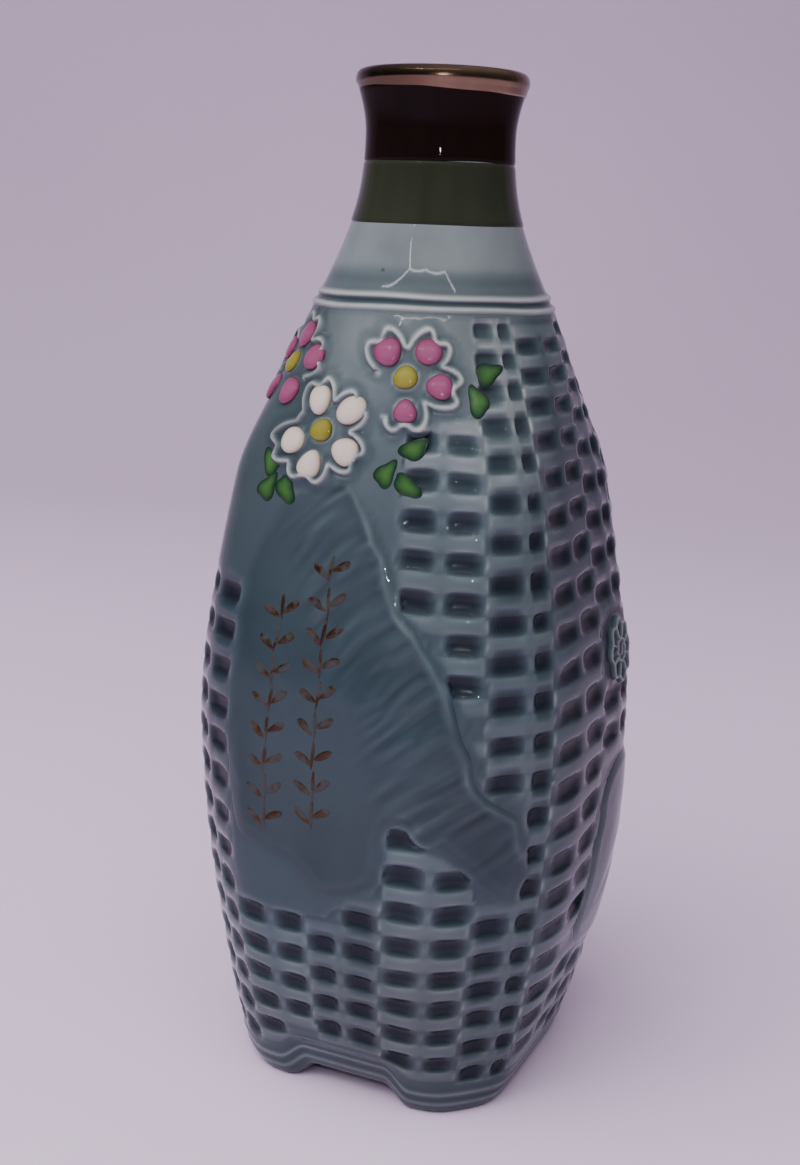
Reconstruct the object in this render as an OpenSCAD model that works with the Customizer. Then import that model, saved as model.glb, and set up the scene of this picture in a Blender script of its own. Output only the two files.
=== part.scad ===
// Porcelain sake bottle (tokkuri), moulded with a basket weave, a mountain and cherry blossom.
// Origin: centre of the footprint on the table. +Z up, the decorated front faces -Y.

/* [Body] */
// Height of the seam where the thrown neck is luted onto the moulded body
seam_z = 133; // [132:0.5:133]
// Height of the belly, the widest level
belly_z = 60; // [56:1:64]
// Distance from the axis to a flat side at the belly
belly_r = 34.1; // [32:0.1:35]
// The same distance at the foot
foot_r = 23.7; // [23:0.1:25]
// The same distance at the shoulder
shoulder_r = 26.2; // [25:0.1:27]
// Wall thickness of the body
wall = 3.6; // [3:0.1:4]
// Thickness of the floor over the hollow underside
floor_t = 3.4; // [3:0.1:4]

/* [Foot] */
// Height of the arch under the front and the back
arch_h = 3.2; // [2:0.1:3.6]
// Half width of the arch, as an angle seen from the axis
arch_half = 21; // [16:1:24]
// Width of the foot's resting band
foot_w = 4.5; // [4:0.1:6]
// How far the two moulding lines over the foot stand proud
moulding_h = 0.35; // [0.2:0.05:0.5]

/* [Neck] */
// Overall height, table to rim
height = 170; // [169:0.5:172]
// Height of the waist of the neck
waist_z = 160; // [159:0.5:161]
// Outer radius at the waist
waist_r = 12.1; // [12:0.1:12.6]
// Outer radius of the lip
lip_r = 14; // [13.6:0.1:14.4]
// Radius of the straight mouth bore, which takes a stopper or a warming probe
bore_r = 9; // [8.5:0.1:9.2]
// Radius of the two raised cords round the foot of the neck
cord_r = 0.65; // [0.5:0.05:0.7]

/* [Glaze and gilding] */
// Thickness of the coloured glaze bands and of the gilding
glaze_t = 0.3; // [0.2:0.05:0.4]
// Lower edge of the green band
green_z = 145.8; // [144:0.1:147]
// Boundary between the green and the brown band
brown_z = 155.7; // [154:0.1:157]
// Lower edge of the gilt lip band
gilt_z = 167; // [166.6:0.1:167.4]

/* [Relief] */
// Height of the mountain and of the side relief over the body
relief_h = 0.6; // [0.5:0.1:0.9]
// Height of the blossom outlines
outline_h = 0.7; // [0.5:0.1:0.9]
// Radius of a blossom outline at the petal tips
blossom_r = 8.4; // [8:0.1:8.6]
// Mean distance of the petals from the blossom's centre
petal_at = 5.3; // [5.1:0.1:5.5]
// Mean length of a petal bead, towards the centre
petal_len = 4.6; // [4.2:0.1:4.8]
// Mean width of a petal bead
petal_w = 4; // [3.5:0.1:4.2]
// Height of the enamel beads
bead_h = 1; // [0.8:0.1:1.2]

/* [Hidden] */
FACETS = 64;
SEAM_FACETS = 192;
RELIEF_GAP = 0.02;
CIRCLE_BLEND = 25;
BLEND_TOP = 130;
UNDERSIDE_Z = 2.6;
SLOPE_FACTOR = 0.95;
BEAD_FACETS = 14;
CORD_LOW_Z = seam_z + 0.7;
CORD_HIGH_Z = seam_z + 2.4;
LIP_Z = height - 1.3;
BORE_LOW_Z = waist_z - 4;
BORE_TOP_Z = height - 2;
MOUTH_R = bore_r + 1.6;
SEAM_IN_R = 16.2;

// Centres of the blossoms and rosette on the body: [angle round the axis, height]
WHITE_AT = [-106, 114];
PINK_RIGHT_AT = [-76, 123];
PINK_LEFT_AT = [-133.5, 123.6];
ROSETTE_AT = [17, 76];
// Petals laid by hand: direction anticlockwise from sideways, then distance, length and
// width over their mean values.
WHITE_PETALS = [
    [107, 0.95, 1.07, 0.95], [37, 1.14, 1.15, 1.06], [-32, 1.06, 1.02, 1.08],
    [-98, 1.07, 1, 0.95], [-155, 0.92, 0.88, 1.08]
];
PINK_RIGHT_PETALS = [
    [131, 0.95, 0.98, 1.08], [51, 1, 0.92, 1], [-13, 1, 0.9, 0.95], [-86, 1, 0.82, 0.88]
];
PINK_LEFT_PETALS = [
    [78, 0.9, 0.98, 1], [12, 1.17, 1, 1.05], [-53, 1.05, 0.98, 1], [-126, 1.05, 0.95, 1],
    [160, 1.05, 0.9, 0.95]
];

// ---- the shape of the bottle -------------------------------------------------------------

// A smooth curve through points given as [height, radius, slope].
function span(z, p, q) =
    let (
        d = q[0] - p[0],
        t = (z - p[0]) / d,
        u = 1 - t
    )
    u * u * (1 + 2 * t) * p[1] + t * t * (3 - 2 * t) * q[1]
        + d * t * u * (u * p[2] - t * q[2]);

function curve(z, points, i = 0) =
    i >= len(points) - 2 || z <= points[i + 1][0]
        ? span(z, points[i], points[i + 1])
        : curve(z, points, i + 1);

SIDE = [
    [0, foot_r, 0.43],
    [belly_z, belly_r, 0],
    [92, 30.1, -0.19],
    [112, shoulder_r, -0.21],
    [133.5, 19.6, -0.46],
    [146, 14.15, -0.34],
    [waist_z, waist_r, 0],
    [LIP_Z, lip_r, 0.36],
    [height, lip_r - 0.1, -0.5]
];
// Distance of the bevelled corners over that of the flat sides.
CORNER = [[0, 1.19, -0.006], [27, 1.075, 0], [BLEND_TOP, 1.33, 0.003]];

function side_r(z) = curve(z, SIDE);
function corner_r(z) = side_r(z) * curve(min(z, BLEND_TOP), CORNER);
function blend(x) = let (t = min(1, max(0, x))) t * t * (3 - 2 * t);
function sharpness(z) = 22 - 0.11 * z;

// An eight-sided section with softened edges: four flat sides and four bevelled corners.
function octagon_r(a, z) =
    let (p = sharpness(z))
    pow(
        [for (k = [0:7])
            pow(max(0, cos(a - 45 * k)) / (k % 2 == 0 ? side_r(z) : corner_r(z)), p)
        ] * [for (k = [0:7]) 1],
        -1 / p
    );

// Radius of the bottle at an angle and a height: eight-sided below, round at the neck.
function bottle_r(a, z) =
    let (w = blend((BLEND_TOP - z) / CIRCLE_BLEND))
    w <= 0 ? side_r(z) : w * octagon_r(a, z) + (1 - w) * side_r(z);

function on_bottle(a, z, off = 0) =
    let (r = bottle_r(a, z) + off)
    [r * cos(a), r * sin(a), z];

// A place given in millimetres across and up from a spot on the surface.
function near(spot, u, v, off = 0) =
    let (r = bottle_r(spot[0], spot[1]))
    on_bottle(spot[0] + u / r * 180 / PI, spot[1] + v * SLOPE_FACTOR, off);

// ---- closed skins ------------------------------------------------------------------------

// A skin over a stack of rings with the same number of points, its ends closed by fans.
module ring_stack(rings) {
    n = len(rings[0]);
    m = len(rings);
    mean = function(ring) [for (p = ring) 1] * ring / n;
    points = [for (ring = rings) each ring, mean(rings[0]), mean(rings[m - 1])];
    faces = [
        for (i = [0:m - 2], j = [0:n - 1])
            let (k = (j + 1) % n, a = i * n + j, b = i * n + k)
            each [[a, a + n, b + n], [a, b + n, b]],
        for (j = [0:n - 1]) [m * n, j, (j + 1) % n],
        for (j = [0:n - 1]) [m * n + 1, (m - 1) * n + (j + 1) % n, (m - 1) * n + j]
    ];
    polyhedron(points, faces);
}

// ---- body --------------------------------------------------------------------------------

ANGLES = [for (j = [0:FACETS - 1]) j * 360 / FACETS];

// Lift of the foot's edge: an arch under the front and the back, with swept ends.
function arch(a) =
    let (off = min(abs(((a + 450) % 360) - 180), abs(((a + 270) % 360) - 180)))
    arch_h * blend((arch_half + 5 - off) / 10);

// Height h over the foot's edge, which follows the arch near the foot only.
function over_foot(a, h) = h + arch(a) * blend((12 - h) / 8);

function foot_ring(h, off) = [for (a = ANGLES)
    let (z = over_foot(a, h), r = bottle_r(a, h) + off) [r * cos(a), r * sin(a), z]
];

function wall_ring(z, off) = [for (a = ANGLES) on_bottle(a, z, off)];

function under_ring(k) = [for (a = ANGLES)
    let (r = (bottle_r(a, 0) - foot_w) * k) [r * cos(a), r * sin(a), UNDERSIDE_Z + arch_h]
];

// The inside follows the outside a wall's thickness in, and narrows to the neck's inside.
function inside_r(a, z) =
    let (w = blend((z - 118) / (seam_z - 118)))
    (1 - w) * (bottle_r(a, z) - wall) + w * SEAM_IN_R;

function inside_ring(z, k = 1) = [for (a = ANGLES)
    let (r = inside_r(a, z) * k) [r * cos(a), r * sin(a), z]
];

CAVITY_Z = UNDERSIDE_Z + arch_h + floor_t;

module body() {
    foot_steps = [
        [0, -0.7], [0.7, 0], [1.8, 0], [2.3, moulding_h], [2.8, 0],
        [3.9, 0], [4.4, moulding_h], [4.9, 0], [8, 0]
    ];
    heights = [for (z = [12:4:128]) z, 130, seam_z];
    inner_foot = [for (a = ANGLES)
        let (r = bottle_r(a, 0) - foot_w) [r * cos(a), r * sin(a), over_foot(a, 0)]
    ];
    color([0.62, 0.72, 0.74]) ring_stack([
        under_ring(0.5),
        under_ring(1),
        inner_foot,
        for (s = foot_steps) foot_ring(s[0], s[1]),
        for (z = heights) wall_ring(z, 0),
        for (z = [seam_z, 130, 126, 120, 112, 104, 92, 78, 62, 46, 32, 20, 14]) inside_ring(z),
        inside_ring(CAVITY_Z + 1, 0.97),
        inside_ring(CAVITY_Z, 0.85),
        inside_ring(CAVITY_Z, 0.4)
    ]);
}

// ---- neck, its glaze and gilding ---------------------------------------------------------

// Points of the neck's outer curve between two heights, moved by an offset.
function neck_line(z0, z1, off, n = 10) =
    [for (i = [0:n]) let (z = z0 + (z1 - z0) * i / n) [side_r(z) + off, z]];

module turned(points) {
    rotate_extrude($fn = SEAM_FACETS) polygon(points);
}

// The bare rim under the gilding, from the outside over the top to the inside.
BARE_RIM = [
    [side_r(gilt_z) - glaze_t, gilt_z],
    [side_r(LIP_Z) - glaze_t, LIP_Z],
    [lip_r - 0.8, height - glaze_t],
    [MOUTH_R + 0.9, height - glaze_t],
    [MOUTH_R, height - 1.2],
    [bore_r + 0.3, BORE_TOP_Z]
];
GILT_RIM = [
    [side_r(gilt_z), gilt_z],
    [side_r(LIP_Z), LIP_Z],
    [lip_r - 0.25, height - 0.4],
    [lip_r - 0.7, height],
    [MOUTH_R + 0.7, height],
    [MOUTH_R - glaze_t, height - 1.1],
    [bore_r + 0.3, BORE_TOP_Z]
];

module neck() {
    color([0.74, 0.83, 0.84]) turned([
        each neck_line(seam_z, green_z, 0, 12),
        each neck_line(green_z, gilt_z - 0.2, -glaze_t, 16),
        each BARE_RIM,
        [bore_r, BORE_TOP_Z],
        [bore_r, BORE_LOW_Z],
        [bore_r + 0.6, BORE_LOW_Z - 4],
        [11.4, 146],
        [14, 139],
        [SEAM_IN_R, seam_z]
    ]);
}

module lip_gilding() {
    color([0.72, 0.52, 0.38]) turned([
        each GILT_RIM,
        for (i = [len(BARE_RIM) - 2:-1:0]) BARE_RIM[i]
    ]);
}

module glaze_band(z0, z1) {
    n = 12;
    skin = neck_line(z0, z1, 0, n);
    bare = neck_line(z0, z1, -glaze_t, n);
    turned([each skin, for (i = [n:-1:0]) bare[i]]);
}

module brown_glaze_band() {
    color([0.12, 0.06, 0.04]) glaze_band(brown_z, gilt_z - 0.2);
}

module green_glaze_band() {
    color([0.2, 0.26, 0.15]) glaze_band(green_z, brown_z);
}

// A raised cord round the neck, cut to lie on it.
module neck_cord(z) {
    color([0.68, 0.78, 0.8]) difference() {
        rotate_extrude($fn = SEAM_FACETS)
            translate([side_r(z), z]) circle(cord_r, $fn = 24);
        turned([
            [0, z - 2],
            each neck_line(max(seam_z, z - 1.8), z + 1.8, 0.01, 8),
            [0, z + 2]
        ]);
    }
}

module neck_cord_upper() {
    neck_cord(CORD_HIGH_Z);
}

module neck_cord_lower() {
    neck_cord(CORD_LOW_Z);
}

// ---- sprigged relief ---------------------------------------------------------------------

// A raised patch on the bottle. Each row is [height, left angle, right angle, thickness].
module relief_patch(rows, columns = 12) {
    cross = [for (row = rows)
        let (
            a = [for (j = [0:columns]) row[1] + (row[2] - row[1]) * j / columns],
            edge = function(j) min(1, min(j, columns - j) / 1.5)
        )
        [
            each [for (j = [0:columns]) on_bottle(a[j], row[0], RELIEF_GAP)],
            each [for (j = [columns:-1:0])
                on_bottle(a[j], row[0], RELIEF_GAP + row[3] * (0.25 + 0.75 * edge(j)))]
        ]
    ];
    ring_stack([for (i = [len(cross) - 1:-1:0]) cross[i]]);
}

// The mountain: its left edge stands upright, its right slope runs down to the foot.
MOUNTAIN_ROWS = [
    [41, -119, -78], [44, -121, -62], [47, -122, -50], [51, -122, -40], [56, -122, -39],
    [60, -122, -48], [66, -122, -53], [72, -122, -57], [78, -122, -61.5], [85, -123, -67],
    [93, -123, -73], [99, -116, -81], [103, -104, -87]
];

module mountain_relief() {
    last = len(MOUNTAIN_ROWS) - 1;
    color([0.5, 0.66, 0.7]) relief_patch([for (i = [0:last])
        [each MOUNTAIN_ROWS[i], relief_h * (i == 0 || i == last ? 0.5 : 1)]
    ], 16);
}

// A smooth swelling low on the right-hand side.
module side_relief() {
    color([0.55, 0.68, 0.72]) relief_patch([for (i = [0:8])
        let (t = i / 8, z = 28 + 28 * t, half = 4 + 22 * sin(180 * (0.1 + 0.8 * t)))
        [z, 31 - half, 31 + half, relief_h * (0.5 + 0.5 * sin(180 * t))]
    ]);
}

// A low dome on the bottle. outline(f, k) gives its edge in millimetres across and up
// from the spot, at an angle f round it, drawn in by a factor k towards its middle.
module dome(spot, outline, top_h, base = RELIEF_GAP, n = BEAD_FACETS) {
    steps = [[1, 0], [0.97, 0.35], [0.8, 0.72], [0.5, 0.93], [0.2, 1]];
    ring_stack([for (s = steps) [for (i = [0:n - 1])
        let (p = outline(360 * i / n, s[0]))
        near(spot, p[0], p[1], base + top_h * s[1])
    ]]);
}

// The edge of an oval: centre u across and v up, long axis turned anticlockwise.
function oval(u, v, turn, length, width) = function(f, k)
    let (x = k * length / 2 * cos(f), y = k * width / 2 * sin(f))
    [u + x * cos(turn) - y * sin(turn), v + x * sin(turn) + y * cos(turn)];

module side_rosette() {
    petals = function(f, k) (5.7 + 0.5 * cos(8 * f)) * k * [cos(f), sin(f)];
    color([0.5, 0.55, 0.55]) dome(ROSETTE_AT, petals, 0.8, n = 48);
}

module rosette_boss() {
    color([0.55, 0.6, 0.6])
        dome(ROSETTE_AT, oval(0, 0, 0, 2.8, 2.8), 0.5, base = RELIEF_GAP + 0.82);
}

// ---- blossoms ----------------------------------------------------------------------------

// Radius of a petal's outline: a notch at its tip, a valley on the way to the next petal.
PETAL_EDGE = [[0, 0.9], [8, 1], [20, 0.96], [30, 0.8], [36, 0.64]];
function blossom_edge(f, petals) =
    blossom_r * max([for (p = petals)
        lookup(180 - abs((f - p[0] + 720) % 360 - 180), PETAL_EDGE)
    ]);

// A raised ridge along a blossom's outline, from one angle round its centre to another.
module blossom_outline(spot, petals, from = 0, to = 359) {
    n = round((to - from) / 7.2);
    half_w = 0.6;
    color([0.8, 0.86, 0.86]) ring_stack([for (i = [0:n])
        let (
            f = from + (to - from) * i / n,
            r = blossom_edge(f, petals),
            at = function(q) (r + q) * [cos(f), sin(f)],
            mid = at(0),
            outer = at(half_w),
            inner = at(-half_w)
        )
        [
            near(spot, mid[0], mid[1], RELIEF_GAP + outline_h),
            near(spot, outer[0], outer[1], RELIEF_GAP),
            near(spot, inner[0], inner[1], RELIEF_GAP)
        ]
    ]);
}

// One petal of enamel, pointing away from the blossom's centre.
module petal(spot, row) {
    f = row[0];
    at = petal_at * row[1];
    dome(spot, oval(at * cos(f), at * sin(f), f, petal_len * row[2], petal_w * row[3]), bead_h);
}

module blossom_centre(spot) {
    color([0.78, 0.76, 0.25]) dome(spot, oval(0, 0, 0, 3.7, 3.7), bead_h);
}

module white_blossom_outline() {
    blossom_outline(WHITE_AT, WHITE_PETALS);
}

// The white blossom lies over part of each pink one, so their outlines stop short of it.
module pink_blossom_right_outline() {
    blossom_outline(PINK_RIGHT_AT, PINK_RIGHT_PETALS, -112, 164);
}

module pink_blossom_left_outline() {
    blossom_outline(PINK_LEFT_AT, PINK_LEFT_PETALS, -14, 238);
}

module white_blossom_centre() {
    blossom_centre(WHITE_AT);
}

module pink_blossom_right_centre() {
    blossom_centre(PINK_RIGHT_AT);
}

module pink_blossom_left_centre() {
    blossom_centre(PINK_LEFT_AT);
}

module white_petal(number) {
    color([0.93, 0.92, 0.88]) petal(WHITE_AT, WHITE_PETALS[number - 1]);
}

// Four petals only: the fifth would lie under the white blossom.
module pink_right_petal(number) {
    color([0.85, 0.42, 0.66]) petal(PINK_RIGHT_AT, PINK_RIGHT_PETALS[number - 1]);
}

module pink_left_petal(number) {
    color([0.85, 0.42, 0.66]) petal(PINK_LEFT_AT, PINK_LEFT_PETALS[number - 1]);
}

module leaf(angle, z, turn, length, width) {
    color([0.13, 0.4, 0.2]) dome([angle, z], oval(0, 0, turn, length, width), bead_h * 0.7);
}

// ---- gilt sprigs -------------------------------------------------------------------------

// A leafy sprig brushed in gold on the mountain: a stem and pairs of narrow leaves.
module gilt_sprig(angle, z_low, z_high, pairs) {
    step = (z_high - z_low) / pairs;
    base = 2 * RELIEF_GAP + relief_h;
    color([0.5, 0.38, 0.2]) for (i = [0:pairs - 1]) {
        spot = [angle, z_low + (i + 0.5) * step];
        dome(spot, oval(0, 0, 90, step * 0.86, 0.5), 0.12, base = base, n = 8);
        for (side = [-1, 1])
            dome(spot, oval(side * 1.9, side * 0.6, 90 - side * 52, 2.8, 0.9), 0.12,
                base = base, n = 8);
    }
}

module gilt_sprig_left() {
    gilt_sprig(-108.5, 49, 89, 8);
}

module gilt_sprig_right() {
    gilt_sprig(-94.5, 51, 96, 9);
}

// ---- parts -------------------------------------------------------------------------------

body();
neck();
lip_gilding();
brown_glaze_band();
green_glaze_band();
neck_cord_upper();
neck_cord_lower();
mountain_relief();
side_relief();
side_rosette();
rosette_boss();
white_blossom_outline();
pink_blossom_right_outline();
pink_blossom_left_outline();
white_blossom_centre();
pink_blossom_right_centre();
pink_blossom_left_centre();
white_petal(1);  // white_petal_1
white_petal(2);  // white_petal_2
white_petal(3);  // white_petal_3
white_petal(4);  // white_petal_4
white_petal(5);  // white_petal_5
pink_right_petal(1);  // pink_right_petal_1
pink_right_petal(2);  // pink_right_petal_2
pink_right_petal(3);  // pink_right_petal_3
pink_right_petal(4);  // pink_right_petal_4
pink_left_petal(1);  // pink_left_petal_1
pink_left_petal(2);  // pink_left_petal_2
pink_left_petal(3);  // pink_left_petal_3
pink_left_petal(4);  // pink_left_petal_4
pink_left_petal(5);  // pink_left_petal_5
leaf(-45, 124, 25, 4.4, 2.2);  // leaf_right_upper
leaf(-50.5, 120, 100, 4, 2.6);  // leaf_right_lower
leaf(-71, 112.5, 30, 3.4, 2);  // leaf_middle_1
leaf(-80, 108.5, 60, 3.4, 2.6);  // leaf_middle_2
leaf(-73, 107, 145, 4.4, 2.6);  // leaf_middle_3
leaf(-121.5, 108.4, 120, 3.6, 2.4);  // leaf_left_1
leaf(-120.5, 104.4, 70, 3.6, 2.6);  // leaf_left_2
leaf(-114.5, 104.4, 120, 3.6, 2.6);  // leaf_left_3
gilt_sprig_left();
gilt_sprig_right();
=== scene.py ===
"""Looks of a moulded porcelain sake bottle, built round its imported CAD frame.

Shapes are worked out in millimetres on the bottle's own surface: an angle round the
axis in degrees and a height. Meshes are in metres.
"""
import math

import bpy
import numpy as np
from mathutils import Matrix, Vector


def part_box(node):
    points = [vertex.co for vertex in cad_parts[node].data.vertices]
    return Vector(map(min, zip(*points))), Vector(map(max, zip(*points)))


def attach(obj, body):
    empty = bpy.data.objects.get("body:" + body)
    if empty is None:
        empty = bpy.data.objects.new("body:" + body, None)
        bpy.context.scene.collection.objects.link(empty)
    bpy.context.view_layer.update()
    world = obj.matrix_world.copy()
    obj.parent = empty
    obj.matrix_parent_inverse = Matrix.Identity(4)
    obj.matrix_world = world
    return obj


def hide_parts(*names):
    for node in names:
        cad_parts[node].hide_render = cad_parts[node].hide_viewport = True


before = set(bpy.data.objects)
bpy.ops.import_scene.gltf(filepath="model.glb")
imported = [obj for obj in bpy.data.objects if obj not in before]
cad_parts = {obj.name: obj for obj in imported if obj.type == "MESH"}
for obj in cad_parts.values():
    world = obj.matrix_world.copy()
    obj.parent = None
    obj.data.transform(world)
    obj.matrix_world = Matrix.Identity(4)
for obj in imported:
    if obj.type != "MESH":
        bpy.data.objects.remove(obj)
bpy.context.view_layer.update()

MM = 0.001

# ---- places from the frame ----


def box_mm(node):
    """Lowest and highest corners of a CAD node, in millimetres."""
    low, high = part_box(node)
    return np.array(low) / MM, np.array(high) / MM


def spot_of(node):
    """Angle round the axis and height of a CAD node's middle."""
    low, high = box_mm(node)
    x, y, z = (low + high) / 2
    return math.degrees(math.atan2(y, x)), z


SEAM_Z = box_mm("body")[1][2]
RIM_Z = box_mm("lip_gilding")[1][2]
GREEN_Z = box_mm("green_glaze_band")[0][2]
BROWN_Z = box_mm("brown_glaze_band")[0][2]
GILT_Z = box_mm("lip_gilding")[0][2]
# The cords' crowns lie this far below the middle of their CAD boxes.
CORD_DROP = 0.5
CORD_LOW_Z = spot_of("neck_cord_lower")[1] - CORD_DROP
CORD_HIGH_Z = spot_of("neck_cord_upper")[1] - CORD_DROP
ROSETTE = spot_of("side_rosette")
# Height of the neck's narrowest place, and of the lip's widest.
WAIST_Z = 160.0
LIP_Z = RIM_Z - 1.3

# ---- the bottle's shape: the frame's rules, with the foot of the neck a little steeper ----

# Distance of the flat sides from the axis, as (height, radius, slope).
SIDE = (
    (0, 23.7, 0.43),
    (60, 34.1, 0),
    (92, 30.1, -0.19),
    (112, 26.2, -0.21),
    (133.5, 19.6, -0.52),
    (146, 14.15, -0.34),
    (WAIST_Z, 12.1, 0),
    (LIP_Z, 14.0, 0.36),
    (RIM_Z, 13.9, -0.5),
)
# Distance of the bevelled corners over that of the flat sides.
CORNER = ((0, 1.19, -0.006), (27, 1.075, 0), (130, 1.33, 0.003))
# Exponent that rounds the eight edges, at the foot, and what it loses per millimetre up.
EDGE_SHARP = 22
EDGE_SOFTENING = 0.11
# Height at which the bottle has become round, and the height that the change takes.
BLEND_TOP = 130.0
CIRCLE_BLEND = 25.0
# Height of the arch in the foot's edge, and degrees from its middle to each end.
ARCH_H = 3.2
ARCH_HALF = 21.0
# Height gained per millimetre up the leaning surface.
LEAN = 0.95


def smooth(x):
    """0 to 1 with soft ends."""
    t = np.clip(x, 0, 1)
    return t * t * (3 - 2 * t)


def hump(x, half):
    """1 at 0, falling away smoothly on both sides."""
    return np.exp(-(x / half) ** 2)


def curve(z, points):
    """A smooth curve through (height, value, slope) points."""
    z = np.asarray(z, float)
    out = np.zeros_like(z)
    for i, (p, q) in enumerate(zip(points[:-1], points[1:])):
        low = -1e9 if i == 0 else p[0]
        high = 1e9 if i == len(points) - 2 else q[0]
        inside = (z >= low) & (z < high)
        d = q[0] - p[0]
        t = (z[inside] - p[0]) / d
        u = 1 - t
        out[inside] = (
            u * u * (1 + 2 * t) * p[1] + t * t * (3 - 2 * t) * q[1]
            + d * t * u * (u * p[2] - t * q[2])
        )
    return out


def side_r(z):
    return curve(z, SIDE)


def bottle_r(angle, z):
    """Radius at an angle and a height: eight-sided below, round at the neck."""
    angle, z = np.broadcast_arrays(np.asarray(angle, float), np.asarray(z, float))
    flat = side_r(z)
    corner = flat * curve(np.minimum(z, BLEND_TOP), CORNER)
    sharp = EDGE_SHARP - EDGE_SOFTENING * np.minimum(z, BLEND_TOP)
    total = np.zeros(z.shape)
    for k in range(8):
        near_k = np.maximum(0, np.cos(np.radians(angle - 45 * k)))
        total += (near_k / (flat if k % 2 == 0 else corner)) ** sharp
    octagon = total ** (-1 / sharp)
    w = smooth((BLEND_TOP - z) / CIRCLE_BLEND)
    return w * octagon + (1 - w) * flat


def polar(r, angle, z):
    """Points at a radius, an angle and a height."""
    a = np.radians(angle)
    return np.stack(np.broadcast_arrays(r * np.cos(a), r * np.sin(a), z), -1)


def on_bottle(angle, z, off):
    """Points in metres at an angle and a height, standing off the surface by off."""
    return polar(bottle_r(angle, z) + off, angle, z) * MM


def near(spot, u, v):
    """Angle and height of a place u across and v up from a spot, in millimetres."""
    return spot[0] + np.degrees(u / bottle_r(*spot)), spot[1] + v * LEAN


def arch(angle):
    """Lift of the foot's edge under the front and the back."""
    off_front = np.abs((angle + 450) % 360 - 180)
    off = np.minimum(off_front, 180 - off_front)
    return ARCH_H * smooth((ARCH_HALF + 5 - off) / 10)


# ---- meshes ----


def make_mesh(name, verts, faces, material, attributes=None):
    """An object from an array of points and a list or array of faces, shaded smooth."""
    mesh = bpy.data.meshes.new(name)
    faces = [tuple(int(i) for i in f) for f in faces]
    mesh.from_pydata([tuple(v) for v in np.asarray(verts, float)], [], faces)
    mesh.polygons.foreach_set("use_smooth", [True] * len(mesh.polygons))
    for key, values in (attributes or {}).items():
        layer = mesh.attributes.new(key, "FLOAT", "POINT")
        layer.data.foreach_set("value", np.asarray(values, np.float32).ravel())
    mesh.update()
    obj = bpy.data.objects.new(name, mesh)
    bpy.context.scene.collection.objects.link(obj)
    mesh.materials.append(MATERIALS[material])
    return obj


def piece(obj, node):
    """Hands a finished piece to the frame."""
    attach(obj, "root")
    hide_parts(node)


def ring_faces(rings, count, start=0):
    """Quads between rings of count points, closed round, with outward normals."""
    i = np.arange(rings - 1)[:, None] * count
    j = np.arange(count)[None, :]
    k = (j + 1) % count
    quads = np.stack([i + j, i + k, i + count + k, i + count + j], -1)
    return (quads.reshape(-1, 4) + start).tolist()


def capped_faces(rings, count, start=0):
    """Quads between rings of count points, with the first and last rings closed."""
    last = start + (rings - 1) * count
    caps = [tuple(range(start, start + count))[::-1], tuple(range(last, last + count))]
    return ring_faces(rings, count, start) + caps


TURNED_POINTS = 192


def lathe(name, profile, material, attributes=None, wave=None):
    """A turned skin through (radius, height) points in millimetres, closed on itself."""
    profile = np.asarray(profile, float)
    count = TURNED_POINTS
    angle = (np.arange(count) * 360 / count)[None, :]
    r = np.repeat(profile[:, :1], count, 1)
    z = np.repeat(profile[:, 1:2], count, 1)
    if wave is not None:
        r, z = wave(angle, r, z)
    verts = polar(r, angle, z).reshape(-1, 3) * MM
    faces = ring_faces(len(profile), count)
    last = (len(profile) - 1) * count
    faces += [(last + j, last + (j + 1) % count, (j + 1) % count, j) for j in range(count)]
    values = {
        key: np.broadcast_to(np.asarray(v, float).reshape(len(profile), -1), r.shape)
        for key, v in (attributes or {}).items()
    }
    return make_mesh(name, verts, faces, material, values)


# ---- relief ----

# Distance given to places far from an outline.
FAR = 60.0


def to_mm(angle, z):
    """Angle to millimetres across, at the radius of the flat sides there."""
    return np.radians(angle) * side_r(z)


def softened(points, closed=True):
    """An outline with its corners cut off twice, which rounds them."""
    points = np.array(points, float)
    for _ in range(2):
        after = np.roll(points, -1, 0) if closed else points[1:]
        start = points if closed else points[:-1]
        cut = np.stack([0.75 * start + 0.25 * after, 0.25 * start + 0.75 * after], 1)
        cut = cut.reshape(-1, 2)
        points = cut if closed else np.concatenate([points[:1], cut, points[-1:]])
    return points


# Angles of the upright stakes that the strands pass over and under, once round.
STAKES = (
    -196, -175.5, -155, -133.5, -108.7, -87, -62.1, -38.8, -15, 18, 38, 56, 74, 95,
    117.9, 141.2, 164,
)
# Angle and place of each stake, and of two joints between strands that lie off the middle.
PLACES = [(STAKES[-2] - 360, -1.0)]
PLACES += sorted([(a, float(i)) for i, a in enumerate(STAKES)] + [(-31.5, 7.5), (1.5, 8.5)])
PLACE_ANGLES, PLACE_NUMBERS = np.array(PLACES).T
# Half the angle between stakes in an even weave.
HALF_STEP = 11.25
# Rows of the weave, counted up from the foot: (height, row, rows per millimetre).
ROW_MARKS = (
    (8.3, 0, 0.178), (30.7, 4, 0.168), (62, 9, 0.158), (99, 15, 0.166), (116.2, 18, 0.195),
    (130.2, 21, 0.22),
)
WEAVE_DEPTH = 0.85
# A bowl's middle and half width, in degrees of an even weave, its half height in rows, and
# the power that squares its outline, with its inverse.
BOWL_MIDDLE = 5.8
BOWL_HALF_W = 5.0
BOWL_HALF_H = 0.325
BOWL_POWER = 3.4
BOWL_ROOT = 0.294
# How far the strands fall away above and below their middles.
STRAND_ROUND = 0.16
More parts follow.
